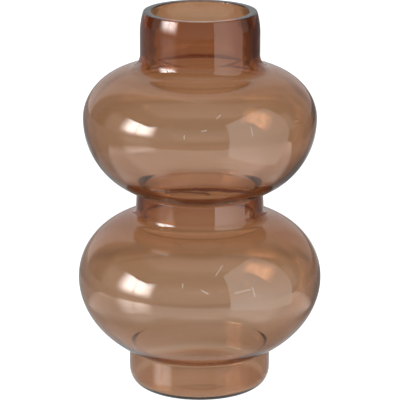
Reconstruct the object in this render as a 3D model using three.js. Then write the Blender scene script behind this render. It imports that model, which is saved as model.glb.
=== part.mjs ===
// Blown glass vase: two bulbs, one above the other, on a round foot, with a waist between them and a
// short neck with a ground rim. Millimetres, +Z up, origin at the centre of the standing face.
// The wall is one body of glass between an outer and an inner skin. It is divided, at upright stretches,
// into the sections that are shaped one after the other, and they meet on flat rings.
import * as THREE from "three";

// Heights of the sections, each up to the crease where the next one starts
const footHeight = 30.5;
const lowerBulbUnderside = 57;
const lowerBulbShoulder = 49.7;
const waistHeight = 21.1;
const upperBulbUnderside = 57.4;
const upperBulbShoulder = 39.5;
const neckHeight = 27.6;
const lipHeight = 17.2;

// Outer radii
const footRadius = 55.5;
const lowerBulbRadius = 95.4;
const waistBottomRadius = 50.1;
const waistTopRadius = 49.5;
const upperBulbRadius = 90.8;
const neckRadius = 46.4;
const rimRadius = 43.8;

// Distance from the axis to the centre of each bulb arc: a longer one makes a flatter shoulder or underside
const lowerUndersideCentre = 5;
const lowerShoulderCentre = 41.6;
const upperUndersideCentre = 32.1;
const upperShoulderCentre = 44.3;

// Radius of the ball that would roll along each crease, outside and inside the vase
const footCrease = 2;
const lowerWaistCrease = 8;
const upperWaistCrease = 2;
const neckCrease = 12;
const footInnerCrease = 6;
const lowerWaistInnerCrease = 14;
const upperWaistInnerCrease = 6;
const neckInnerCrease = 17;

// Thickness of the glass
const floorThickness = 3.2;
const footWall = 3.1;
const lowerUndersideWall = 3;
const lowerBulbWall = 2.4;
const lowerShoulderWall = 4.2;
const waistWall = 5.4;
const upperUndersideWall = 3.7;
const upperBulbWall = 2.6;
const upperShoulderWall = 3.5;
const neckWall = 5.6;
const rimWall = 6.2;

// Edges and the hollow under the floor
const footEdgeWidth = 9.6;
const footEdgeHeight = 13;
const floorCornerRadius = 5;
const standingRingWidth = 7;
const kickDepth = 1;
const rimEdgeRadius = 1;

// Fineness of the facets
const facets = 48;
const arcSteps = 8;
const creaseSteps = 3;
const edgeSteps = 4;
const rimSteps = 2;

const UPRIGHT = Math.PI / 2;
const { lerp } = THREE.MathUtils;

// Levels of the creases and of the two widest circles, from the standing face up
const lowerEquator = footHeight + lowerBulbUnderside;
const waistStart = lowerEquator + lowerBulbShoulder;
const waistEnd = waistStart + waistHeight;
const upperEquator = waistEnd + upperBulbUnderside;
const neckStart = upperEquator + upperBulbShoulder;
const lipStart = neckStart + neckHeight;
const vaseHeight = lipStart + lipHeight;

// Points of an arc about (centreR, centreZ), from one angle to another
function arc(centreR, centreZ, across, up, from, to, steps) {
  const points = [];
  for (let i = 0; i <= steps; i += 1) {
    const angle = lerp(from, to, i / steps);
    points.push(new THREE.Vector2(centreR + across * Math.cos(angle), centreZ + up * Math.sin(angle)));
  }
  return points;
}

// The spot, from 0 up to a reach, where a condition that holds at first stops holding, found by halving
function lastSpot(reach, holds) {
  const halvings = 50;
  let spot = 0;
  let step = reach;
  for (let i = 0; i < halvings; i += 1) {
    step /= 2;
    if (holds(spot + step)) {
      spot += step;
    }
  }
  return spot;
}

// Height at which the arc of a bulb would close, from the rise at which it meets the collar
function fullRise(bulbRadius, collarRadius, rise, centre) {
  return rise / Math.sin(Math.acos((collarRadius - centre) / (bulbRadius - centre)));
}

// One skin of half a bulb, from its widest circle to the end of the crease. Heights count from that circle.
function bulbHalf(bulbRadius, { collarRadius, up, centre, crease }) {
  const across = bulbRadius - centre;
  const tiltAt = (angle) => Math.atan2(across * Math.sin(angle), up * Math.cos(angle));
  const ballReach = (angle) => centre + across * Math.cos(angle) + crease * Math.cos(tiltAt(angle));

  // The rolling ball rests on the arc and on the collar at once
  const touch = lastSpot(UPRIGHT, (angle) => ballReach(angle) > collarRadius + crease);
  const tilt = tiltAt(touch);
  const ballHeight = up * Math.sin(touch) + crease * Math.sin(tilt);
  return [
    ...arc(centre, 0, across, up, 0, touch, arcSteps),
    ...arc(collarRadius + crease, ballHeight, -crease, -crease, tilt, 0, creaseSteps).slice(1),
  ];
}

// One skin of a whole bulb, from the end of its lower crease to the end of its upper crease
function bulbSkin(equator, bulbRadius, below, above) {
  const low = bulbHalf(bulbRadius, below).map(({ x, y }) => new THREE.Vector2(x, equator - y));
  const high = bulbHalf(bulbRadius, above).map(({ x, y }) => new THREE.Vector2(x, equator + y));
  return [...low.reverse(), ...high.slice(1)];
}

// The point at a level on the straight line through two points
function onLine(from, to, level) {
  return from.clone().lerp(to, (level - from.y) / (to.y - from.y));
}

// Closed outline of a wall: up its outer skin and down its inner skin. A point that repeats is left out.
function wallOutline(outer, inner) {
  const loop = [...outer, ...[...inner].reverse(), outer[0]];
  const least = 1e-6;
  return loop.filter((point, i) => i === 0 || point.distanceTo(loop[i - 1]) > least);
}

// The floor: hollowed a little underneath, standing on a ring, with a rounded outer edge
function baseOutline() {
  const innerRadius = footRadius - footWall;
  const ringOuter = footRadius - footEdgeWidth;
  const ringInner = ringOuter - standingRingWidth;
  const kickRadius = (ringInner ** 2 + kickDepth ** 2) / (2 * kickDepth);
  const kickAngle = Math.asin(ringInner / kickRadius);
  const cornerR = innerRadius - floorCornerRadius;
  const cornerZ = floorThickness + floorCornerRadius;
  const outer = [
    ...arc(0, kickDepth - kickRadius, kickRadius, kickRadius, UPRIGHT, UPRIGHT - kickAngle, edgeSteps),
    ...arc(ringOuter, footEdgeHeight, footEdgeWidth, footEdgeHeight, -UPRIGHT, 0, edgeSteps),
    new THREE.Vector2(footRadius, baseTop),
  ];
  const inner = [
    new THREE.Vector2(0, floorThickness),
    ...arc(cornerR, cornerZ, floorCornerRadius, floorCornerRadius, -UPRIGHT, 0, edgeSteps),
    new THREE.Vector2(innerRadius, baseTop),
  ];
  return wallOutline(outer, inner).slice(0, -1);
}

// A spot at some depth in the mouth, which is drawn in more and more towards the rim and on past it
function lipSpot(share, depth) {
  const draw = neckRadius - rimRadius;
  const tilt = Math.atan2(2 * draw * share, lipHeight);
  const r = neckRadius - draw * share ** 2 - depth * Math.cos(tilt);
  const z = lipStart + lipHeight * share - depth * Math.sin(tilt);
  return { point: new THREE.Vector2(r, z), tilt };
}

// The mouth, ground flat on top, with a ball-shaped softening along both edges of the rim
function lipOutline() {
  const edge = Math.min(rimEdgeRadius, Math.min(neckWall, rimWall) / 2);
  const ballLevel = vaseHeight - edge;
  const curveReach = 2;
  const wallAt = (share) => lerp(neckWall, rimWall, Math.min(share, 1));
  const skin = (depthAt, ballDepthAt) => {
    const rimShare = lastSpot(curveReach, (share) => lipSpot(share, ballDepthAt(share)).point.y < ballLevel);
    const points = [];
    for (let i = 0; i <= edgeSteps; i += 1) {
      const share = (rimShare * i) / edgeSteps;
      points.push(lipSpot(share, depthAt(share)).point);
    }
    const ball = lipSpot(rimShare, ballDepthAt(rimShare));
    return { points, ball: ball.point, tilt: ball.tilt };
  };
  const outer = skin(() => 0, () => edge);
  const inner = skin(wallAt, (share) => wallAt(share) - edge);
  return wallOutline(
    [
      ...outer.points,
      ...arc(outer.ball.x, outer.ball.y, edge, edge, outer.tilt, UPRIGHT, rimSteps).slice(1),
    ],
    [
      ...inner.points,
      ...arc(inner.ball.x, inner.ball.y, edge, edge, Math.PI + inner.tilt, UPRIGHT, rimSteps).slice(1),
    ],
  );
}

// Turns an outline about the upright axis and names the section
function section(name, outline, color, roughness) {
  const geometry = new THREE.LatheGeometry(outline, facets);
  geometry.rotateX(UPRIGHT);
  const material = new THREE.MeshStandardMaterial({ color, roughness, metalness: 0 });
  const mesh = new THREE.Mesh(geometry, material);
  mesh.name = name;
  return mesh;
}

// How the arcs of the bulbs meet the collars, on the outer skin
const lowerBelow = {
  collarRadius: footRadius,
  up: fullRise(lowerBulbRadius, footRadius, lowerBulbUnderside, lowerUndersideCentre),
  centre: lowerUndersideCentre,
  crease: footCrease,
};
const lowerAbove = {
  collarRadius: waistBottomRadius,
  up: fullRise(lowerBulbRadius, waistBottomRadius, lowerBulbShoulder, lowerShoulderCentre),
  centre: lowerShoulderCentre,
  crease: lowerWaistCrease,
};
const upperBelow = {
  collarRadius: waistTopRadius,
  up: fullRise(upperBulbRadius, waistTopRadius, upperBulbUnderside, upperUndersideCentre),
  centre: upperUndersideCentre,
  crease: upperWaistCrease,
};
const upperAbove = {
  collarRadius: neckRadius,
  up: fullRise(upperBulbRadius, neckRadius, upperBulbShoulder, upperShoulderCentre),
  centre: upperShoulderCentre,
  crease: neckCrease,
};

// The same on the inner skin, which lies one wall behind
function inside({ collarRadius, up, centre }, collarWall, wall, crease) {
  return { collarRadius: collarRadius - collarWall, up: up - wall, centre, crease };
}

const lowerOuter = bulbSkin(lowerEquator, lowerBulbRadius, lowerBelow, lowerAbove);
const lowerInner = bulbSkin(
  lowerEquator,
  lowerBulbRadius - lowerBulbWall,
  inside(lowerBelow, footWall, lowerUndersideWall, footInnerCrease),
  inside(lowerAbove, waistWall, lowerShoulderWall, lowerWaistInnerCrease),
);
const upperOuter = bulbSkin(upperEquator, upperBulbRadius, upperBelow, upperAbove);
const upperInner = bulbSkin(
  upperEquator,
  upperBulbRadius - upperBulbWall,
  inside(upperBelow, waistWall, upperUndersideWall, upperWaistInnerCrease),
  inside(upperAbove, neckWall, upperShoulderWall, neckInnerCrease),
);

// The upright collars start and end where the creases of both skins have run out
const baseTop = Math.max(footEdgeHeight, floorThickness + floorCornerRadius);
const footTop = Math.min(lowerOuter[0].y, lowerInner[0].y);
const waistBottom = Math.max(lowerOuter.at(-1).y, lowerInner.at(-1).y);
const waistTop = Math.min(upperOuter[0].y, upperInner[0].y);
const neckBottom = Math.max(upperOuter.at(-1).y, upperInner.at(-1).y);

const footOuter = [baseTop, footTop].map((z) => new THREE.Vector2(footRadius, z));
const footInner = [baseTop, footTop].map((z) => new THREE.Vector2(footRadius - footWall, z));
const waistOuter = [waistBottom, waistTop].map((z) => onLine(lowerOuter.at(-1), upperOuter[0], z));
const waistInner = [waistBottom, waistTop].map((z) => onLine(lowerInner.at(-1), upperInner[0], z));
const neckOuter = [neckBottom, lipStart].map((z) => new THREE.Vector2(neckRadius, z));
const neckInner = [neckBottom, lipStart].map((z) => new THREE.Vector2(neckRadius - neckWall, z));

const lowerBulb = wallOutline(
  [footOuter[1], ...lowerOuter, waistOuter[0]],
  [footInner[1], ...lowerInner, waistInner[0]],
);
const upperBulb = wallOutline(
  [waistOuter[1], ...upperOuter, neckOuter[0]],
  [waistInner[1], ...upperInner, neckInner[0]],
);

const vase = new THREE.Group();
vase.name = "vase";
vase.add(
  section("base", baseOutline(), 0x92775b, 0.08),
  section("foot", wallOutline(footOuter, footInner), 0x906344, 0.05),
  section("lower_bulb", lowerBulb, 0x96785b, 0.05),
  section("waist", wallOutline(waistOuter, waistInner), 0x88593f, 0.05),
  section("upper_bulb", upperBulb, 0xa07c62, 0.05),
  section("neck", wallOutline(neckOuter, neckInner), 0x743722, 0.05),
  section("lip", lipOutline(), 0x7d5745, 0.1),
);

export default vase;
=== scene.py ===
# %% [markdown]
# # A blown glass vase with two bulbs
#
# The vase is one wall of amber-brown glass: a floor, a short foot, two bulbs with a waist between them, and
# a heavy neck with a rim that is ground flat. Nearly everything that makes it look like glass comes from its
# two skins and from how thick the glass is between them; only a few glints and one dark line are painted on.
# So both skins are modelled at real size and the colour is left to the depth of the glass.
#
# The imported solids come first. They fix the size and the place of everything that follows.

# %% Load the imported solids
import math

import bmesh
import bpy
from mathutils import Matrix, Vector, noise


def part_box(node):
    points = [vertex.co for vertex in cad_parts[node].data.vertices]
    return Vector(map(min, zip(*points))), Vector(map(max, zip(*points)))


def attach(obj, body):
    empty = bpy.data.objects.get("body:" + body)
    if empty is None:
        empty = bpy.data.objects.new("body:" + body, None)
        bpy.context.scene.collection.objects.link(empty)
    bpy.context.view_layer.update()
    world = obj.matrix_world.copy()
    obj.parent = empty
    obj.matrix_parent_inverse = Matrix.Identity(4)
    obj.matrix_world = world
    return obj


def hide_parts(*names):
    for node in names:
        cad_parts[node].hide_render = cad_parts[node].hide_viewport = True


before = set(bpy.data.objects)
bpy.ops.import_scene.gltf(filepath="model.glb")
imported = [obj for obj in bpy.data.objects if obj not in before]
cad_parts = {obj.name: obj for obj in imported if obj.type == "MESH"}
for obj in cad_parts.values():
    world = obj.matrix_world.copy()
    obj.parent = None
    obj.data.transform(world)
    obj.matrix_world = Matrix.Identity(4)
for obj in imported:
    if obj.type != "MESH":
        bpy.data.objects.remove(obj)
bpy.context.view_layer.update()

mm = 0.001
print("sections of the wall:", sorted(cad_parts))

# %% [markdown]
# ## The camera
#
# The photograph was taken from the front and from above the rim, with a long lens, so that the upright sides
# of the vase stay nearly parallel. A lens is often guessed by eye, but the ellipses of the rim and the foot
# fix it: they show how much the view changes from the top of the vase to the bottom. The camera is placed by
# its distance, its height and the angle at which it looks down.

# %% Place the camera
camera_distance = 1.860
camera_height = 0.687
camera_pitch = math.radians(16.13)
camera_roll = math.radians(0.12)
lens_length = 222.57
sensor_width = 36.0
photo_width = 400
axis_left_of_centre = 0.2  # in pixels, as the photograph's width is

camera_data = bpy.data.cameras.new("camera")
camera_data.lens = lens_length
camera_data.sensor_width = sensor_width
camera_data.shift_x = axis_left_of_centre / photo_width
camera = bpy.data.objects.new("camera", camera_data)
camera.location = (0, -camera_distance, camera_height)
camera.rotation_euler = (math.pi / 2 - camera_pitch, 0, 0)
camera.rotation_euler.rotate_axis("Z", camera_roll)
scene = bpy.context.scene
scene.collection.objects.link(camera)
scene.camera = camera
print("camera", camera_distance, "m away and", camera_height, "m up, with a lens of", lens_length, "mm")

# %% [markdown]
# ## The two skins
#
# A glassmaker turns the vase while it is shaped, so one outline describes all of it. The outer skin is what
# the mould gives: upright collars, and bulbs whose halves are arcs of an ellipse, with a fillet where an arc
# meets a collar, as if a ball had rolled round the crease.
#
# The inner skin is left by the breath, not by the mould. Soft glass gathers at the creases and evens them
# out, so the inner skin has the same kind of outline, one wall further in, with rounder creases of its own.
# Pushing the outer skin inwards by one thickness would be quicker, but it would pinch every crease, and the
# creases are where the photograph shows the thickest and darkest glass.
#
# Radii are read from the solids where a box gives them. The other sizes are the ones that drive the solids.

# %% Sizes of the wall
foot_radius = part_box("foot")[1].x
lower_bulb_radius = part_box("lower_bulb")[1].x
waist_bottom_radius = 50.1 * mm
waist_top_radius = 49.5 * mm
upper_bulb_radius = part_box("upper_bulb")[1].x
neck_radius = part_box("neck")[1].x
rim_radius = 43.8 * mm
lower_equator = 87.5 * mm
upper_equator = 215.7 * mm
vase_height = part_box("lip")[1].z
lip_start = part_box("lip")[0].z
lip_height = vase_height - lip_start

foot_wall = 3.1 * mm
lower_underside_wall = 3.0 * mm
lower_bulb_wall = 2.4 * mm
lower_shoulder_wall = 4.2 * mm
waist_wall = 5.4 * mm
upper_underside_wall = 3.7 * mm
upper_bulb_wall = 2.6 * mm
upper_shoulder_wall = 3.5 * mm
neck_wall = 5.6 * mm
rim_wall = 6.2 * mm
print("widest radii:", round(lower_bulb_radius, 4), "and", round(upper_bulb_radius, 4), "m")

# %% Half a bulb
upright = math.pi / 2
arc_steps = 24
crease_steps = 8
halvings = 50
print("steps on half a bulb:", arc_steps + crease_steps)


def last_spot(reach, holds):
    """The spot, from 0 up to a reach, where a condition that holds at first stops holding."""
    spot = 0.0
    step = reach
    for _ in range(halvings):
        step /= 2
        if holds(spot + step):
            spot += step
    return spot


def bulb_half(equator, bulb_radius, collar_radius, up, centre, crease):
    """Points (radius, height) from the widest circle to the end of the crease. A negative rise goes down."""
    across = bulb_radius - centre

    def tilt_at(angle):
        return math.atan2(across * math.sin(angle), abs(up) * math.cos(angle))

    def ball_reach(angle):
        return centre + across * math.cos(angle) + crease * math.cos(tilt_at(angle))

    touch = last_spot(upright, lambda angle: ball_reach(angle) > collar_radius + crease)
    angles = [touch * i / arc_steps for i in range(arc_steps + 1)]
    points = [(centre + across * math.cos(angle), abs(up) * math.sin(angle)) for angle in angles]
    tilts = [tilt_at(touch) * (1 - i / crease_steps) for i in range(crease_steps + 1)]
    ball_height = points[-1][1] + crease * math.sin(tilts[0])
    for tilt in tilts[1:]:
        points.append((collar_radius + crease * (1 - math.cos(tilt)), ball_height - crease * math.sin(tilt)))
    return [(r, equator + math.copysign(z, up)) for r, z in points]


# %% Arcs of the bulbs
lower_underside_centre = 5 * mm
lower_shoulder_centre = 41.6 * mm
upper_underside_centre = 32.1 * mm
upper_shoulder_centre = 44.3 * mm
lower_underside_rise = 57 * mm
lower_shoulder_rise = 49.7 * mm
upper_underside_rise = 57.4 * mm
upper_shoulder_rise = 39.5 * mm


def full_rise(bulb_radius, collar_radius, rise, centre):
    """Height at which the arc of a bulb would close, from the rise at which it meets the collar."""
    return rise / math.sin(math.acos((collar_radius - centre) / (bulb_radius - centre)))


lower_underside = full_rise(lower_bulb_radius, foot_radius, lower_underside_rise, lower_underside_centre)
lower_shoulder = full_rise(
    lower_bulb_radius, waist_bottom_radius, lower_shoulder_rise, lower_shoulder_centre
)
upper_underside = full_rise(
    upper_bulb_radius, waist_top_radius, upper_underside_rise, upper_underside_centre
)
upper_shoulder = full_rise(upper_bulb_radius, neck_radius, upper_shoulder_rise, upper_shoulder_centre)
print("lower bulb:", round(lower_underside / mm, 1), "mm down,", round(lower_shoulder / mm, 1), "mm up")
print("upper bulb:", round(upper_underside / mm, 1), "mm down,", round(upper_shoulder / mm, 1), "mm up")

# %% One skin from the foot to the neck
foot_edge_width = 9.6 * mm
foot_edge_height = 13 * mm
guard = 0.4 * mm


def collar(low, high):
    """Points of an upright collar, with rings close to its ends that keep it straight when it is shaded."""
    (low_r, low_z), (high_r, high_z) = low, high
    margin = guard / (high_z - low_z)
    shares = (margin, 3 * margin, 0.5, 1 - 3 * margin, 1 - margin)
    return [(low_r + (high_r - low_r) * t, low_z + (high_z - low_z) * t) for t in shares]


def bulb(equator, radius, low, high):
    """A bulb between the collars below and above it, each given as (radius, full rise, centre, crease)."""
    low_radius, low_rise, low_centre, low_crease = low
    high_radius, high_rise, high_centre, high_crease = high
    below = bulb_half(equator, radius, low_radius, -low_rise, low_centre, low_crease)
    above = bulb_half(equator, radius, high_radius, high_rise, high_centre, high_crease)
    return below[::-1] + above[1:]


def skin(depths, creases):
    """The outline at a depth behind the outer skin in each section, with a crease at each end of a bulb."""
    foot, under_low, low, over_low, waist, under_high, high, over_high, neck = depths
    foot_r = foot_radius - foot
    waist_low_r = waist_bottom_radius - waist
    waist_high_r = waist_top_radius - waist
    neck_r = neck_radius - neck
    lower_part = bulb(
        lower_equator,
        lower_bulb_radius - low,
        (foot_r, lower_underside - under_low, lower_underside_centre, creases[0]),
        (waist_low_r, lower_shoulder - over_low, lower_shoulder_centre, creases[1]),
    )
    upper_part = bulb(
        upper_equator,
        upper_bulb_radius - high,
        (waist_high_r, upper_underside - under_high, upper_underside_centre, creases[2]),
        (neck_r, upper_shoulder - over_high, upper_shoulder_centre, creases[3]),
    )
    return [
        *collar((foot_r, foot_edge_height), lower_part[0]),
        *lower_part,
        *collar(lower_part[-1], upper_part[0]),
        *upper_part,
        *collar(upper_part[-1], (neck_r, lip_start)),
    ]


# %% Both skins
outer_creases = (2 * mm, 8 * mm, 2 * mm, 12 * mm)
inner_creases = (6 * mm, 14 * mm, 6 * mm, 17 * mm)
walls = (
    foot_wall,
    lower_underside_wall,
    lower_bulb_wall,
    lower_shoulder_wall,
    waist_wall,
    upper_underside_wall,
    upper_bulb_wall,
    upper_shoulder_wall,
    neck_wall,
)
outer_wall = skin([0] * len(walls), outer_creases)
inner_wall = skin(walls, inner_creases)
print("points of the outer skin:", len(outer_wall), "and of the inner skin:", len(inner_wall))

# %% [markdown]
# ## The rim and the floor
#
# The mouth is drawn in a little towards the rim, which is ground flat, and both of its edges are softened so
# that they don't cut. The softening could be a bevel on the finished shell, but then its width would follow
# the slant of the lip. Here a small ball rolls inside each edge instead, and the outline follows that ball.
#
# The floor is a plain disc with a rounded corner inside. Underneath it is hollowed a little, so that the
# vase stands on a ring and can't rock.

# %% The mouth
rim_edge = 1 * mm
lip_steps = 10
farthest_share = 2


def behind(station, depth):
    """The spot at some depth behind a station of the outer skin."""
    radius, height, tilt = station
    return radius - depth * math.cos(tilt), height - depth * math.sin(tilt)


def lip_station(share):
    """A point of the mouth, which is drawn in more and more towards the rim."""
    draw = neck_radius - rim_radius
    tilt = math.atan2(2 * draw * share, lip_height)
    return neck_radius - draw * share ** 2, lip_start + lip_height * share, tilt


def mouth_wall(share):
    """Thickness of the mouth, which grows a little towards the rim."""
    return neck_wall + (rim_wall - neck_wall) * share


def lip_skin(depth, ball_depth):
    """One skin of the mouth up to where the ball of its edge touches it, the ball's centre and the tilt."""

    def ball_fits(share):
        return behind(lip_station(share), ball_depth(share))[1] < vase_height - rim_edge

    reach = last_spot(farthest_share, ball_fits)
    shares = [reach * i / lip_steps for i in range(lip_steps + 1)]
    points = [behind(lip_station(share), depth(share)) for share in shares]
    touch = lip_station(reach)
    return points, behind(touch, ball_depth(reach)), touch[2]


outer_lip, outer_ball, outer_tilt = lip_skin(lambda share: 0, lambda share: rim_edge)
inner_lip, inner_ball, inner_tilt = lip_skin(mouth_wall, lambda share: mouth_wall(share) - rim_edge)
print("clear width of the mouth:", round(2 * inner_lip[-1][0], 4), "m")

# %% Close the outline
floor_thickness = 3.2 * mm
floor_corner = 5 * mm
ring_width = 7 * mm
kick_depth = 1 * mm
kick_steps = 8
foot_edge_steps = 14
outer_rim_steps = 6
inner_rim_steps = 8
corner_steps = 10


def arc(centre_r, centre_z, radius, start, end, steps, stretch=1.0):
    """Points of a round stretch of the outline, drawn out in height if asked."""
    angles = [start + (end - start) * i / steps for i in range(steps + 1)]
    return [(centre_r + radius * math.cos(a), centre_z + radius * stretch * math.sin(a)) for a in angles]


ring_outer = foot_radius - foot_edge_width
ring_inner = ring_outer - ring_width
kick_radius = (ring_inner ** 2 + kick_depth ** 2) / (2 * kick_depth)
kick_angle = math.asin(ring_inner / kick_radius)
foot_stretch = foot_edge_height / foot_edge_width
floor_reach = foot_radius - foot_wall - floor_corner

underside = [
    *arc(0, kick_depth - kick_radius, kick_radius, upright, upright - kick_angle, kick_steps),
    *arc(ring_outer, foot_edge_height, foot_edge_width, -upright, 0, foot_edge_steps, foot_stretch),
]
outer_skin = outer_wall + outer_lip
rim = [
    *arc(*outer_ball, rim_edge, outer_tilt, upright, outer_rim_steps)[1:],
    *arc(*inner_ball, rim_edge, upright, math.pi + inner_tilt, inner_rim_steps),
]
inner_skin = inner_lip[::-1] + inner_wall[::-1]
inside_floor = arc(floor_reach, floor_thickness + floor_corner, floor_corner, 0, -upright, corner_steps)
inside_floor += [(floor_reach * share, floor_thickness) for share in (0.75, 0.5, 0.25, 0)]
outline = underside + outer_skin + rim + inner_skin[1:] + inside_floor
print("outline:", len(outline), "points")

# %% [markdown]
# ## The shell
#
# Spinning the outline about the upright axis gives a closed wall with glass between its skins. A single skin
# with a solidify modifier would have two sides as well, but one thickness all over.

# %% Turn the outline into a closed shell
turns = 224
weld_distance = 0.005 * mm

shell = bmesh.new()
inside = shell.verts.layers.int.new("inside")
chain = [shell.verts.new((r, 0, z)) for r, z in outline]
for vert in chain[len(underside + outer_skin + rim):]:
    vert[inside] = 1
links = [shell.edges.new(pair) for pair in zip(chain, chain[1:])]
bmesh.ops.spin(
    shell, geom=chain + links, axis=(0, 0, 1), cent=(0, 0, 0), angle=2 * math.pi, steps=turns, use_merge=True
)
bmesh.ops.remove_doubles(shell, verts=shell.verts, dist=weld_distance)
bmesh.ops.recalc_face_normals(shell, faces=shell.faces)
shell.normal_update()
print("shell:", len(shell.verts), "points and", len(shell.faces), "faces")

# %% [markdown]
# ## An uneven inside
#
# Blown glass is never quite even inside. The inner skin is moved in and out by about a tenth of a
# millimetre, in broad waves and in narrow streaks that run upwards, the way the glass was drawn. Whatever is
# seen through the wall swims a little because of it. Bump in the finish would bend light too, but the wall
# would keep one thickness. The outer skin stays true, because its mirror images are clean, and so does the
# rim.

# %% Move the inner skin
wave_height = 0.12 * mm
wave_length = 32 * mm
streak_height = 0.015 * mm
streak_length = 7 * mm
streak_stretch = 8
true_rim = 12 * mm


def ease(low, high, value):
    """0 at one mark, 1 at the other, and an even passage between them."""
    share = min(1.0, max(0.0, (value - low) / (high - low)))
    return share * share * (3 - 2 * share)


shifts = []
for vert in shell.verts:
    spot = vert.co
    fade = ease(vase_height, vase_height - true_rim, spot.z) if vert[inside] else 0.0
    streak = Vector((spot.x, spot.y, spot.z / streak_stretch)) / streak_length
    wave = wave_height * noise.noise(spot / wave_length) + streak_height * noise.noise(streak)
    shifts.append(vert.normal * wave * fade)
for vert, shift in zip(shell.verts, shifts):
    vert.co += shift
for face in shell.faces:
    face.smooth = True
mesh = bpy.data.meshes.new("vase_wall")
shell.to_mesh(mesh)
print("glass in the shell:", round(shell.calc_volume(signed=True) * 1e6, 1), "cm3")
shell.free()
vase = bpy.data.objects.new("vase_wall", mesh)
scene.collection.objects.link(vase)


# %% [markdown]
# ## Wires
#
# A finish in Blender is a tree of nodes. Written out node by node, even a short sum is hard to read, so one
# small class wraps an output of a node and lets sums be written as sums. Every other node comes from one
# method that takes the node's type, its settings and its inputs.


# %% A wire in a node tree
class Wire:
    """An output of a node. Sums written with wires add Math nodes to the tree."""

    def __init__(self, tree, socket=None):
        self.tree = tree
        self.socket = socket

    def node(self, kind, settings=None, inputs=None, output=0):
        """Adds a node, sets it up, feeds its sockets and gives the wire of one output."""
        made = self.tree.nodes.new(kind)
        for name, value in (settings or {}).items():
            setattr(made, name, value)
        for name, value in (inputs or {}).items():
            if isinstance(value, Wire):
                self.tree.links.new(value.socket, made.inputs[name])
            else:
                made.inputs[name].default_value = value
        return Wire(self.tree, made.outputs[output] if made.outputs else None)

    def math(self, operation, first, second=0.0):
        return self.node("ShaderNodeMath", {"operation": operation}, {0: first, 1: second})

    def vector(self, operation, first, second, output="Vector"):
        return self.node("ShaderNodeVectorMath", {"operation": operation}, {0: first, 1: second}, output)

    def axis(self, name):
        """One part of a vector: X, Y or Z."""
        return self.node("ShaderNodeSeparateXYZ", None, {"Vector": self}, name)

    def ramp(self, low, high):
        """0 at one mark, 1 at the other, and an even passage between them."""
        ends = {"Value": self, "From Min": low, "From Max": high}
        return self.node("ShaderNodeMapRange", {"interpolation_type": "SMOOTHSTEP"}, ends)

    def between(self, low, high):
        """One value where this wire is 0, another where it is 1, and a blend of both on the way."""
        return low + (high - low) * self

    def __add__(self, other):
        return self.math("ADD", self, other)

    def __radd__(self, other):
        return self.math("ADD", other, self)

    def __sub__(self, other):
        return self.math("SUBTRACT", self, other)

    def __rsub__(self, other):
        return self.math("SUBTRACT", other, self)

    def __mul__(self, other):
        return self.math("MULTIPLY", self, other)

    def __rmul__(self, other):
        return self.math("MULTIPLY", other, self)

    def __truediv__(self, other):
        return self.math("DIVIDE", self, other)

    def __rtruediv__(self, other):
        return self.math("DIVIDE", other, self)


def new_finish(name):
    """An empty material and a wire to start from."""
    finish = bpy.data.materials.new(name)
    finish.use_nodes = True
    finish.node_tree.nodes.clear()
    return finish, Wire(finish.node_tree)


# %% [markdown]
# ## Ripples and rings
#
# A perfectly even shell looks like plastic. The neck of the vase has fine upright ripples inside, where the
# glass was drawn up and cooled, and all over run faint rings, left by turning the vase against a tool. They
# are three hundredths of a millimetre high at most, too fine for the mesh, so a Bump node tilts the shading
# instead. Noise that is drawn out upwards gives the ripples, and noise that only changes with the distance
# from the axis and with the level gives the rings.

# %% Ripples in the neck and rings all over
drawn_height = 0.03 * mm
drawn_width = 2.5 * mm
drawn_stretch = 25
drawn_from = lip_start - 36 * mm
drawn_fully = lip_start - 24 * mm
drawn_end = vase_height - 2 * mm
ring_height = 0.003 * mm
ring_spacing = 2 * mm

amber, wire = new_finish("amber_glass")
spot = wire.node("ShaderNodeTexCoord", None, None, "Object")
level = spot.axis("Z")
inner = wire.node("ShaderNodeAttribute", {"attribute_name": "inside"}, None, "Fac")
drawn_scale = (1 / drawn_width, 1 / drawn_width, 1 / (drawn_stretch * drawn_width))
drawn_spot = wire.node("ShaderNodeMapping", None, {"Vector": spot, "Scale": drawn_scale})
drawn = wire.node("ShaderNodeTexNoise", None, {"Vector": drawn_spot, "Scale": 1.0, "Detail": 2.0})
on_neck = level.ramp(drawn_from, drawn_fully) * level.ramp(drawn_end, lip_start)
from_axis = wire.math("SQRT", spot.axis("X") * spot.axis("X") + spot.axis("Y") * spot.axis("Y"))
ring_place = {"X": from_axis / ring_spacing, "Z": level / ring_spacing}
ring_spot = wire.node("ShaderNodeCombineXYZ", None, ring_place)
rings = wire.node("ShaderNodeTexNoise", None, {"Vector": ring_spot, "Scale": 1.0, "Detail": 1.0})
relief = drawn * on_neck * inner * drawn_height + rings * ring_height
bumped = wire.node("ShaderNodeBump", None, {"Strength": 1.0, "Distance": 1.0, "Height": relief}, "Normal")
print("ripples", drawn_height / mm, "mm high, rings", ring_height / mm, "mm high")

# %% [markdown]
# ## Clear skins
#
# The skins are polished by fire, so they are smooth and clear. Only the top of the rim, which was ground
# flat, is a little rough. A second material could go on the faces of the rim, but a ramp on the level does
# it in one, with no border to place.

# %% Clear glass with a ground rim
glass_bending = 1.5
rim_roughness = 0.12
ground_from = vase_height - 0.3 * mm
ground_fully = vase_height - 0.05 * mm

surface = wire.node(
    "ShaderNodeBsdfPrincipled",
    None,
    {
        "Base Color": (1, 1, 1, 1),
        "Roughness": level.ramp(ground_from, ground_fully) * rim_roughness,
        "IOR": glass_bending,
        "Transmission Weight": 1.0,
        "Normal": bumped,
    },
)
print("glass bends light by", glass_bending, "and the rim is rough by", rim_roughness)
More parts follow.
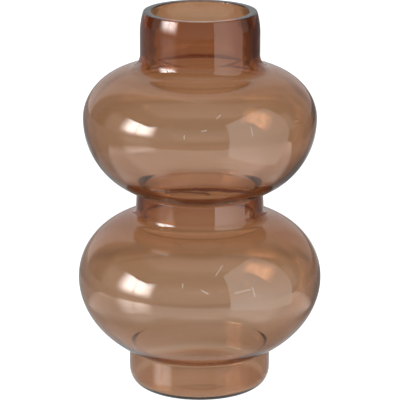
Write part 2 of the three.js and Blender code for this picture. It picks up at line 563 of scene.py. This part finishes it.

# %% [markdown]
# ## Painted glints and a painted line of shade
#
# A few short, pale marks on the bulbs are painted glints: they stand in for small reflections of the lamps
# and the room. Just over the waist, at the front, a dark, jagged line is painted shade, standing in for a
# dark inner reflection. Painting them into a picture would need a layout of the skin and would blur close
# up.
# Here a mark is a chain of short lines on the outer skin, and a spot is on it if it is close enough to a
# line.
# Each end of a line is a turn from the front, in degrees, and a level in millimetres. On a mark, another
# surface
# is mixed over the clear one: pale glass for a glint, and glass so dark that it hardly lets light through
# for the line of shade.

# %% Where the marks lie
# Painted glints: each line marks a small reflection of the lamps or the room, painted on as a pale mark.
glint_lines = [
    ((-28.4, 127.5), (-18.8, 126.1)),
    ((12.1, 120.7), (8.1, 114.7)),
    ((16.8, 101.9), (24.4, 103.1)),
    ((25.7, 104.6), (26.3, 97.9)),
    ((-8.1, 109.1), (-8.0, 106.3)),
    ((0.8, 105.1), (4.0, 102.3)),
    ((10.7, 238.1), (8.5, 236.0)),
    ((0.8, 227.5), (3.2, 228.1)),
    ((-7.3, 224.4), (-7.5, 221.9)),
    ((25.3, 228.6), (25.8, 222.1)),
]
# Painted shade: a dark, jagged line just over the waist, standing in for a dark inner reflection.
shade_line_left = [(-19.9, 175.5), (-10.8, 177.4), (-4.6, 177.3), (3.2, 176.3), (5.0, 175.0)]
shade_line_right = [(-2.0, 180.8), (0.9, 179.0), (9.2, 179.3), (14.4, 177.5), (22.5, 176.0), (32.0, 172.0)]
shade_lines = list(zip(shade_line_left, shade_line_left[1:])) + list(zip(shade_line_right, shade_line_right[1:]))


def on_skin(degrees, millimetres):
    """The point of the outer skin at a turn from the front and a level over the table."""
    angle = math.radians(degrees)
    z = millimetres * mm
    stretches = zip(outer_skin, outer_skin[1:])
    (low_r, low_z), (high_r, high_z) = next((low, high) for low, high in stretches if low[1] <= z <= high[1])
    radius = low_r + (high_r - low_r) * (z - low_z) / (high_z - low_z)
    return Vector((radius * math.sin(angle), -radius * math.cos(angle), z))


def near_line(spot, start, end, width):
    """A wire that is 1 on the line between two points and fades to 0 at a distance from it."""
    along = end - start
    from_start = spot.vector("SUBTRACT", spot, start)
    share = from_start.vector("DOT_PRODUCT", from_start, along / along.length_squared, "Value")
    share = share.math("MINIMUM", share.math("MAXIMUM", share, 0.0), 1.0)
    reached = share.node("ShaderNodeVectorMath", {"operation": "SCALE"}, {0: along, "Scale": share})
    return from_start.vector("DISTANCE", from_start, reached, "Value").ramp(width, 0.0)


print("scuffs:", len(glint_lines), "and lines in the fold:", len(shade_lines))

# %% Painted glints and painted shade over the clear glass
# Painted glints: pale glass mixed over the clear glass where reflections of light are painted on.
glint_width = 0.8 * mm
glint_strength = 0.22
glint_look = {"Base Color": (0.9, 0.84, 0.78, 1), "Roughness": 0.4}
# Painted shade: nearly black glass along the dark line over the waist.
shade_line_width = 2.4 * mm
shade_line_strength = 0.92
shade_line_look = {"Base Color": (0.07, 0.02, 0.012, 1), "Roughness": 0.3}

# Mix the painted glints over the clear glass.
painted_glints = 0.0
for start, end in glint_lines:
    painted_glints = near_line(spot, on_skin(*start), on_skin(*end), glint_width) + painted_glints
glint_paint = wire.node("ShaderNodeBsdfPrincipled", None, glint_look)
with_painted_glints = wire.node("ShaderNodeMixShader", None, {0: painted_glints * glint_strength, 1: surface, 2: glint_paint})
# Mix the painted line of shade over the glass.
painted_shade = 0.0
for start, end in shade_lines:
    painted_shade = wire.math("MAXIMUM", near_line(spot, on_skin(*start), on_skin(*end), shade_line_width), painted_shade)
shade_paint = wire.node("ShaderNodeBsdfPrincipled", None, shade_line_look)
with_painted_shade = wire.node("ShaderNodeMixShader", None, {0: painted_shade * shade_line_strength, 1: with_painted_glints, 2: shade_paint})
print("painted_glints", glint_width / mm, "mm and fold", shade_line_width / mm, "mm to either side of their lines")

# %% [markdown]
# ## Amber by depth
#
# The tint isn't painted on. The surface is clear, and the body between the skins absorbs light as it passes,
# blue most and red least. So the thin bulbs come out pale, the neck and the waist dark and reddish, and the
# creases darkest, from one and the same glass. A tinted surface would be quicker to render, but it would
# give every part the same colour, however thick it is.

# %% Amber glass on the vase
glass_density = 400.0
glass_colour = (0.79, 0.535, 0.285, 1)

depth = wire.node("ShaderNodeVolumeAbsorption", None, {"Color": glass_colour, "Density": glass_density})
wire.node("ShaderNodeOutputMaterial", None, {"Surface": with_painted_shade, "Volume": depth})
vase.data.materials.append(amber)
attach(vase, "root")
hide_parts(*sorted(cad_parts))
print("nodes in the glass:", len(amber.node_tree.nodes))

# %% [markdown]
# ## The table
#
# The photograph has been cut out, so round the vase there is nothing but white. A plain round floor stands
# in for it, large enough to fill the picture from every side. It lies a tenth of a millimetre lower than the
# ring of the vase, because two faces in one place give specks.

# %% Stage: lay the table
floor_extent = 6.0
floor_sides = 64
floor_gap = 0.1 * mm

ground = bmesh.new()
bmesh.ops.create_circle(ground, cap_ends=True, segments=floor_sides, radius=floor_extent)
bmesh.ops.translate(ground, verts=ground.verts, vec=(0, 0, -floor_gap))
ground_mesh = bpy.data.meshes.new("table")
ground.to_mesh(ground_mesh)
ground.free()
table = bpy.data.objects.new("table", ground_mesh)
scene.collection.objects.link(table)
print("table", 2 * floor_extent, "m across")

# %% [markdown]
# ## Light and shade on the table
#
# Nearly all that is seen through a glass vase is what it stands on, so the glass still shows the table that
# was there: a glossy board with an edge 7 cm behind the middle of the vase, another edge ahead, and a soft
# end at the left. Close round the foot the board is darker, because the vase keeps the light off. Ahead of
# that lie two pools of light, one on either side, and the bulbs turn them into bright bands. Behind the
# board a duller sweep begins, dim at first and brighter further off. Round both is the floor of the room,
# with a fringe of light along the front edge of the board. A patch of light from the window lies at the
# left.
#
# Lamps could light those zones one by one, but each lamp would show in the glass too. So the table glows by
# itself: a spot's place says which zone it is in, and an even passage leads from each zone to the next.

# %% Stage: zones of the table
table_left = -0.5
table_left_fade = (table_left - 0.12, table_left + 0.10)
table_reach = 0.68
table_reach_fade = 0.004
table_back = 0.07
table_back_fade = 0.01
sweep_side = (0.60, 0.50)
pool_side = (0.09, 0.15)
pool_start = (0.14, 0.20)
pool_wrap = 0.08
half_way = (-0.03, 0.03)
middle = (-0.05, 0.05)

white, wire = new_finish("white_table")
spot = wire.node("ShaderNodeTexCoord", None, None, "Object")
x = spot.axis("X")
y = spot.axis("Y")
off_side = wire.math("ABSOLUTE", x)
from_vase = wire.node("ShaderNodeVectorMath", {"operation": "LENGTH"}, {0: spot}, "Value")
past_back = y.ramp(table_back, table_back + table_back_fade)
inside_reach = from_vase.ramp(table_reach + table_reach_fade, table_reach)
on_table = x.ramp(*table_left_fade) * inside_reach * (1.0 - past_back)
on_sweep = past_back * off_side.ramp(*sweep_side)
in_pool = off_side.ramp(*pool_side) * from_vase.ramp(*pool_start)
behind_vase = (y - pool_wrap * in_pool).ramp(*half_way)
rightward = x.ramp(*middle)
print("table edges:", table_reach, "m ahead,", table_back, "m behind,", -table_left, "m to the left")

# %% Stage: light far from the vase
table_glow = 1.8
sweep_near_glow = 0.22
sweep_glow = 0.56
sweep_side_glow = 0.3
sweep_rise = (0.32, 0.54)
sweep_flank = (0.26, 0.34)
room_floor_glow = 0.16
left_floor_glow = 0.35
left_floor_fade = 0.01
fringe_glow = 0.35
fringe_reach = (1.4, 0.7)
fringe_ahead = (-0.05, -0.25)

sweep_light = y.ramp(*sweep_rise).between(sweep_near_glow, sweep_glow)
sweep_light = off_side.ramp(*sweep_flank).between(sweep_light, sweep_side_glow)
fringe_light = fringe_glow * from_vase.ramp(*fringe_reach) * y.ramp(*fringe_ahead)
right_of_end = x.ramp(table_left - left_floor_fade, table_left)
room_light = right_of_end.between(left_floor_glow, room_floor_glow + fringe_light)
far_light = on_table * table_glow + on_sweep * sweep_light + (1.0 - on_table - on_sweep) * room_light
print("glow of the table", table_glow, "and of the sweep", sweep_near_glow, "to", sweep_glow)

# %% Stage: light ahead of the vase
near_glow = 0.35
left_near_glow = 0.8
near_turn = (-0.06, 0.02)
near_end = (0.10, 0.15)
mid_glow = 0.6
mid_end = (0.20, 0.28)
left_pool_glow = 2.0
right_pool_glow = 2.3
side_pool_glow = 1.2
pool_ahead = (-0.07, -0.14)

pool_light = rightward.between(left_pool_glow, right_pool_glow)
pool_light = y.ramp(*pool_ahead).between(side_pool_glow, pool_light)
mid_light = from_vase.ramp(*mid_end).between(mid_glow, table_glow)
mid_light = in_pool.between(mid_light, pool_light)
near_light = x.ramp(*near_turn).between(left_near_glow, near_glow)
front_light = from_vase.ramp(*near_end).between(near_light, mid_light)
print("glow of the pools", left_pool_glow, "at the left and", right_pool_glow, "at the right")

# %% Stage: light behind the vase
back_close_glow = 0.5
back_near_glow = 0.58
close_end = (0.16, 0.22)
left_flank_glow = 0.44
right_flank_glow = 0.24
flank_side = (0.10, 0.16)

flank_light = rightward.between(left_flank_glow, right_flank_glow)
back_light = from_vase.ramp(*close_end).between(back_close_glow, back_near_glow)
back_light = off_side.ramp(*flank_side).between(back_light, flank_light)
print("glow behind the vase", back_close_glow, "to", back_near_glow)

# %% [markdown]
# ## White for the camera
#
# A Light Path node tells the camera's own rays from those that come by way of the glass. The camera sees
# white and an even, slight gloss, so that no edge of the board shows on the floor. The glass sees the zones,
# and a board that is far glossier than the floor of the room.

# %% Stage: finish of the table
under_glow = 0.62
under_end = (0.05, 0.08)
far_start = (0.36, 0.46)
patch_glow = 1.0
patch_left = (-0.66, -0.58)
patch_right = (-0.42, -0.48)
patch_front = (-0.56, -0.48)
patch_back = (-0.1, -0.18)
seen_glow = 1.3
table_gloss = 0.9
room_gloss = 0.13
seen_gloss = 0.3
gloss_roughness = 0.06

round_light = behind_vase.between(front_light, back_light)
round_light = from_vase.ramp(*far_start).between(round_light, far_light)
in_patch = x.ramp(*patch_left) * x.ramp(*patch_right) * y.ramp(*patch_front) * y.ramp(*patch_back)
glow = from_vase.ramp(*under_end).between(under_glow, round_light) + patch_glow * in_patch
gloss = on_table.between(room_gloss, table_gloss)
is_camera = wire.node("ShaderNodeLightPath", None, None, "Is Camera Ray")
top = wire.node(
    "ShaderNodeBsdfPrincipled",
    None,
    {
        "Base Color": (0, 0, 0, 1),
        "Specular IOR Level": 0.0,
        "Coat Weight": is_camera.between(gloss, seen_gloss),
        "Coat Roughness": gloss_roughness,
        "Emission Color": is_camera.between(glow, seen_glow),
        "Emission Strength": 1.0,
    },
)
wire.node("ShaderNodeOutputMaterial", None, {"Surface": top})
table.data.materials.append(white)
print("nodes in the table:", len(white.node_tree.nodes))

# %% [markdown]
# ## The side card
#
# A tall white card stands to the right, close to the vase, and gives the glass the large soft window that
# every section mirrors. An area lamp would do the same, but a card with real corners also gives the right
# slant to the window's edges on the round bulbs. The card is brightest at its foot, where the table lights
# it, and dims towards its rear edge.
#
# The camera doesn't see the card, and neither does light that has passed through glass. In the photograph
# the outer skin mirrors the card, but hardly anything of a second image shows behind it.

# %% Stage: the side card
card_glow = 2.1
card_foot_glow = 3.4
card_foot = (0.20, 0.03)
card_rear_loss = 0.4
card_rear_fade = (-0.25, -0.05)
card_height = 0.52
card_front = (0.201, -0.419)
card_rear = (0.286, -0.04)

sheet = bmesh.new()
corners = [(*card_front, 0), (*card_rear, 0), (*card_rear, card_height), (*card_front, card_height)]
sheet.faces.new([sheet.verts.new(corner) for corner in corners])
sheet_mesh = bpy.data.meshes.new("side_card")
sheet.to_mesh(sheet_mesh)
sheet.free()
card = bpy.data.objects.new("side_card", sheet_mesh)
scene.collection.objects.link(card)
paper, wire = new_finish("white_card")
spot = wire.node("ShaderNodeTexCoord", None, None, "Object")
card_light = spot.axis("Z").ramp(*card_foot).between(card_glow, card_foot_glow)
card_light = card_light * (1.0 - card_rear_loss * spot.axis("Y").ramp(*card_rear_fade))
card_face = wire.node(
    "ShaderNodeBsdfPrincipled",
    None,
    {
        "Base Color": (0, 0, 0, 1),
        "Specular IOR Level": 0.0,
        "Emission Color": card_light,
        "Emission Strength": 1.0,
    },
)
wire.node("ShaderNodeOutputMaterial", None, {"Surface": card_face})
card.data.materials.append(paper)
card.visible_camera = False
card.visible_transmission = False
print("card", card_height, "m tall, glow", card_glow, "and at its foot", card_foot_glow)

# %% [markdown]
# ## The room
#
# The rest of the light comes from the room: pale walls, a lit ceiling and, at the left, a window with one
# bar. The glass mirrors all of it, very small. A photograph of a room wrapped round the scene is the usual
# way. Here the room is a formula of the direction instead: how far a direction is turned from the front, in
# degrees, and how steeply it rises. Each wall is one term, so each can be set until its mirror image lies
# where the photograph shows it.

# %% Stage: directions in the room
front_wall_top = 0.77
side_wall_top = 0.56

world = bpy.data.worlds.new("room")
scene.world = world
world.use_nodes = True
world.node_tree.nodes.clear()
wire = Wire(world.node_tree)
facing = wire.node("ShaderNodeTexCoord", None, None, "Generated")
right = facing.axis("X")
front = 0.0 - facing.axis("Y")
flat_length = wire.math("SQRT", right * right + front * front)
rise = facing.axis("Z") / flat_length
turn = wire.math("ARCTAN2", right, front) * (180 / math.pi)
aside = wire.math("ABSOLUTE", turn)
wall_top = wire.math("MAXIMUM", front * front_wall_top, wire.math("ABSOLUTE", right) * side_wall_top)
over_wall = rise - wall_top / flat_length
print("walls rise to", front_wall_top, "in front and", side_wall_top, "at the sides, for 1 along the floor")

# %% [markdown]
# ## Walls, window and ceiling ahead
#
# The walls in front of the vase are pale below and dark above, and a dark gap parts them from the ceiling.
# The window is by far the brightest thing in the room. It counts half for light that has passed through
# glass, because the photograph shows its second image weaker than its first one.

# %% Stage: the room ahead
wall_low_glow = 0.53
wall_high_glow = 0.05
left_low_glow = 0.52
left_high_glow = 0.05
wall_shade = (0.35, 0.65)
wall_corner = (-42, -50)
wall_edge = (0.01, -0.01)
window_glow = 19.0
window_left = (-88, -70)
window_right = (-38, -60)
window_sill = (-0.04, 0.24)
bar_turn = -65.0
bar_edge = (0.25, 0.6)
second_image = 0.5
gap_glow = 0.02
ceiling_glow = 0.65
zenith_glow = 0.43
ceiling_start = (0.60, 0.95)
ceiling_front = (0.12, 0.35)

high_up = rise.ramp(*wall_shade)
window = window_glow * turn.ramp(*window_left) * turn.ramp(*window_right) * rise.ramp(*window_sill)
window = window * wire.math("ABSOLUTE", turn - bar_turn).ramp(*bar_edge)
through_glass = wire.node("ShaderNodeLightPath", None, None, "Is Transmission Ray")
window = window * through_glass.between(1.0, second_image)
front_wall = high_up.between(wall_low_glow, wall_high_glow)
left_wall = high_up.between(left_low_glow, left_high_glow) + window
wall_light = turn.ramp(*wall_corner).between(front_wall, left_wall)
ceiling_light = front.ramp(*ceiling_front).between(zenith_glow, ceiling_glow)
above_light = over_wall.ramp(*ceiling_start).between(gap_glow, ceiling_light)
ahead_light = over_wall.ramp(*wall_edge).between(above_light, wall_light)
print("window glow", window_glow, "between", window_right[0], "and", window_left[0], "degrees")

# %% [markdown]
# ## The room behind
#
# Behind the vase the room falls into upright bands: dark sides, then brighter ones, and the back. The limbs
# of the bulbs show them as fine upright lines. The camera looks past the floor at plain white.

# %% Stage: the room behind
left_side_glow = 0.03
right_side_glow = 0.06
left_rear_glow = 0.22
right_rear_glow = 0.25
left_back_glow = 0.8
right_back_glow = 0.42
back_glow = 0.62
side_start = (102, 110)
rear_start = (118, 126)
back_start = (134, 142)
middle_start = (150, 162)
left_half = (20, -20)
seen_room_glow = 1.0

on_left = turn.ramp(*left_half)
side_light = on_left.between(right_side_glow, left_side_glow)
rear_light = on_left.between(right_rear_glow, left_rear_glow)
far_back_light = on_left.between(right_back_glow, left_back_glow)
behind_light = aside.ramp(*rear_start).between(side_light, rear_light)
behind_light = aside.ramp(*back_start).between(behind_light, far_back_light)
behind_light = aside.ramp(*middle_start).between(behind_light, back_glow)
room_glow = aside.ramp(*side_start).between(ahead_light, behind_light)
is_camera = wire.node("ShaderNodeLightPath", None, None, "Is Camera Ray")
strength = is_camera.between(room_glow, seen_room_glow)
backdrop = wire.node("ShaderNodeBackground", None, {"Color": strength, "Strength": 1.0})
wire.node("ShaderNodeOutputWorld", None, {"Surface": backdrop})
print("nodes in the room:", len(world.node_tree.nodes))

# %% [markdown]
# ## Following the light
#
# A ray that looks through the vase crosses two walls, so four skins, and many more if it is mirrored
# inside. With the usual limits it would give up on the way and leave black spots at the creases, so the
# limits are raised. The plain view transform shows white as white. A filmic one would turn the floor grey.

# %% Let light pass many skins
bounces_in_glass = 24
bounces_off_glass = 12

scene.view_settings.view_transform = "Standard"
scene.cycles.max_bounces = bounces_in_glass
scene.cycles.transmission_bounces = bounces_in_glass
scene.cycles.glossy_bounces = bounces_off_glass
print("light is followed through up to", bounces_in_glass, "skins")
